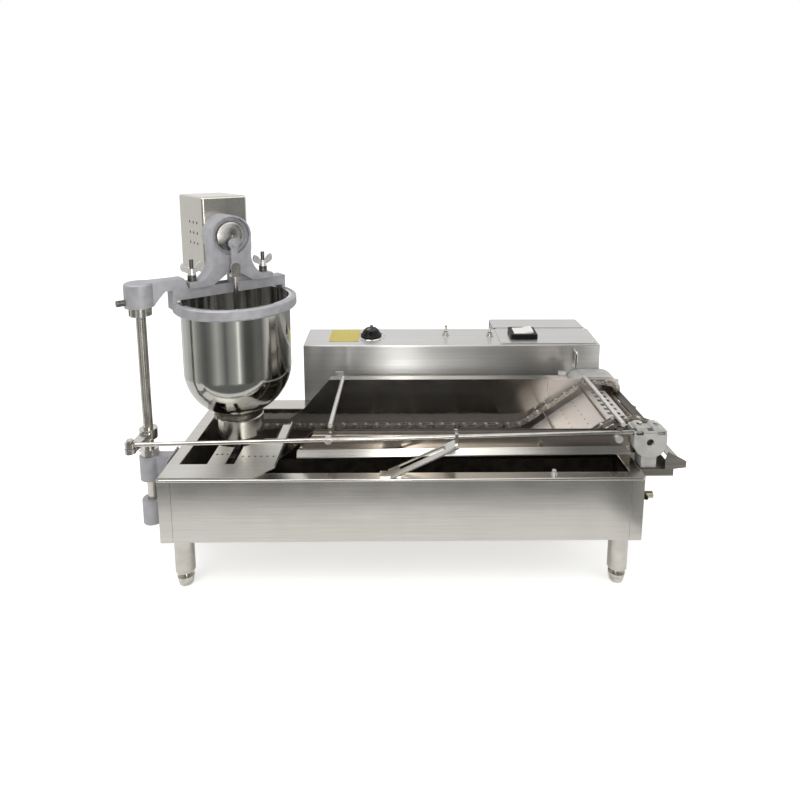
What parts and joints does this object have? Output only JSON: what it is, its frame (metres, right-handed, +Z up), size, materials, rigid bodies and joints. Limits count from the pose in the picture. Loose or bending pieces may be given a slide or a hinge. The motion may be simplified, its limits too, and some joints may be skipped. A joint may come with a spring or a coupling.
{
  "type": "donut forming machine",
  "caption": "Countertop donut maker: a dough hopper with a plunger nozzle on a swinging arm over a long fryer tank with a pusher-chain conveyor, exit ramp and control box.",
  "frame": {"origin": "bottom centre of the whole machine's bounding box, at floor level", "axes": "+X to the right along the tank towards the discharge end, +Y from the front panel to the control box, +Z up"},
  "size_m": [1.0854, 0.5612, 0.742],
  "materials": {
    "stainless": "brushed stainless sheet",
    "polished_steel": "mirror-polished stainless",
    "bright_steel": "bright plated steel",
    "dark_steel": "darkened steel",
    "chain_steel": "oiled roller chain",
    "heater_steel": "heat-stained tube",
    "cast_aluminium": "sand-cast, matt",
    "brass_plated": "nickel-plated",
    "motor_iron": "painted motor body",
    "black_plastic": "black moulding",
    "white_plastic": "white moulding",
    "yellow_film": "blank yellow film"
  },
  "bodies": {
    "base": {"tank_shell": "stainless", "end_panels": "stainless", "oil_pan": "stainless", "heater": "heater_steel", "legs": "stainless", "drain_cock": "brass_plated", "post_brackets": "cast_aluminium", "hex_bolts": "bright_steel", "drip_deck": "stainless", "rod_rest": "stainless", "front_plate": "stainless", "back_plate": "stainless", "tie_rods": "stainless", "chain_front": "chain_steel", "chain_back": "chain_steel", "flights": "stainless", "exit_ramp": "stainless", "end_housing": "cast_aluminium", "end_cap": "cast_aluminium", "drive_case": "cast_aluminium", "drip_shelf": "stainless", "discharge_chute": "stainless", "control_box": "stainless", "back_cover": "stainless", "cable_gland": "black_plastic", "conveyor_gear_motor": "motor_iron", "switch_plate": "stainless", "blank_plate": "yellow_film", "panel_bushes": "bright_steel", "switch_bezel": "black_plastic", "pull_handle": "bright_steel"},
    "head": {"post": "stainless", "post_collars": "bright_steel", "swing_lever": "stainless", "arm_casting": "cast_aluminium", "hopper_bowl": "polished_steel", "neck_ring": "dark_steel", "nozzle": "polished_steel", "yoke": "cast_aluminium", "head_studs": "bright_steel", "motor_cover": "stainless", "head_gear_motor": "motor_iron"},
    "link_rod": {"link_rod": "stainless"},
    "crank": {"crank_disc": "polished_steel"},
    "plunger": {"plunger": "stainless"},
    "connecting_link": {"connecting_link": "bright_steel"},
    "wing_nut_left": {"wing_nut_left": "bright_steel"},
    "wing_nut_right": {"wing_nut_right": "bright_steel"},
    "drive": {"drive_shaft": "stainless"},
    "idler": {"idler_shaft": "stainless"},
    "turner": {"turner": "stainless"},
    "knob": {"knob": "black_plastic"},
    "rocker": {"rocker": "white_plastic"},
    "toggle_left": {"toggle_left": "bright_steel"},
    "toggle_right": {"toggle_right": "bright_steel"},
    "cock_lever": {"cock_lever": "black_plastic"},
    "foot_front_left": {"foot_front_left": "bright_steel"},
    "foot_front_right": {"foot_front_right": "bright_steel"},
    "foot_back_left": {"foot_back_left": "bright_steel"},
    "foot_back_right": {"foot_back_right": "bright_steel"}
  },
  "joints": [
    {"name": "hopper_swing", "type": "hinge", "parent": "base", "child": "head", "pos_m": [-0.50725, -0.18642, 0.24], "axis": [0, 0, 1], "range_deg": [-8, 8]},
    {"name": "rod_pivot", "type": "hinge", "parent": "head", "child": "link_rod", "pos_m": [-0.51125, -0.25542, 0.295], "axis": [0, 0, 1], "range_deg": [-8, 8]},
    {"name": "crank_turn", "type": "hinge", "parent": "head", "child": "crank", "pos_m": [-0.34875, -0.10142, 0.664], "axis": [-0.6428, 0.766, 0], "continuous": true},
    {"name": "plunger_stroke", "type": "slide", "parent": "head", "child": "plunger", "axis": [0, 0, 1], "range_m": [0, 0.03]},
    {"name": "link_sway", "type": "hinge", "parent": "plunger", "child": "connecting_link", "pos_m": [-0.34875, -0.10142, 0.601], "axis": [-0.6428, 0.766, 0], "range_deg": [-15, 15]},
    {"name": "wing_nut_left_turn", "type": "hinge", "parent": "head", "child": "wing_nut_left", "pos_m": [-0.42702, -0.12793, 0.59], "axis": [0, 0, 1], "continuous": true},
    {"name": "wing_nut_right_turn", "type": "hinge", "parent": "head", "child": "wing_nut_right", "pos_m": [-0.30905, -0.02894, 0.59], "axis": [0, 0, 1], "continuous": true},
    {"name": "drive_turn", "type": "hinge", "parent": "base", "child": "drive", "pos_m": [0.47175, -0.08642, 0.281], "axis": [0, 1, 0], "continuous": true},
    {"name": "idler_turn", "type": "hinge", "parent": "base", "child": "idler", "pos_m": [-0.39425, -0.08642, 0.177], "axis": [0, 1, 0], "continuous": true},
    {"name": "turner_flip", "type": "hinge", "parent": "base", "child": "turner", "pos_m": [-0.02425, -0.08642, 0.176], "axis": [0, 1, 0], "range_deg": [0, 150]},
    {"name": "knob_turn", "type": "hinge", "parent": "base", "child": "knob", "pos_m": [-0.08425, 0.12833, 0.3795], "axis": [0, -0.0842, 0.9964], "range_deg": [-270, 0]},
    {"name": "rocker_tilt", "type": "hinge", "parent": "base", "child": "rocker", "pos_m": [0.29375, 0.12715, 0.39345], "axis": [0, 0.9964, 0.0842], "range_deg": [0, 14]},
    {"name": "toggle_left_flick", "type": "hinge", "parent": "base", "child": "toggle_left", "pos_m": [0.10275, 0.13995, 0.3845], "axis": [1, 0, 0], "range_deg": [-24, 0]},
    {"name": "toggle_right_flick", "type": "hinge", "parent": "base", "child": "toggle_right", "pos_m": [0.21275, 0.13397, 0.38399], "axis": [1, 0, 0], "range_deg": [-24, 0]},
    {"name": "cock_turn", "type": "hinge", "parent": "base", "child": "cock_lever", "pos_m": [0.45975, -0.21642, 0.175], "axis": [0, 0, 1], "range_deg": [0, 90]},
    {"name": "foot_front_left_level", "type": "slide", "parent": "base", "child": "foot_front_left", "axis": [0, 0, 1], "range_m": [-0.012, 0.009]},
    {"name": "foot_front_right_level", "type": "slide", "parent": "base", "child": "foot_front_right", "axis": [0, 0, 1], "range_m": [-0.012, 0.009]},
    {"name": "foot_back_left_level", "type": "slide", "parent": "base", "child": "foot_back_left", "axis": [0, 0, 1], "range_m": [-0.012, 0.009]},
    {"name": "foot_back_right_level", "type": "slide", "parent": "base", "child": "foot_back_right", "axis": [0, 0, 1], "range_m": [-0.012, 0.009]}
  ],
  "couplings": [
    {"joint": "rod_pivot", "follows": "hopper_swing", "ratio": -1},
    {"joint": "idler_turn", "follows": "drive_turn", "ratio": 1}
  ]
}
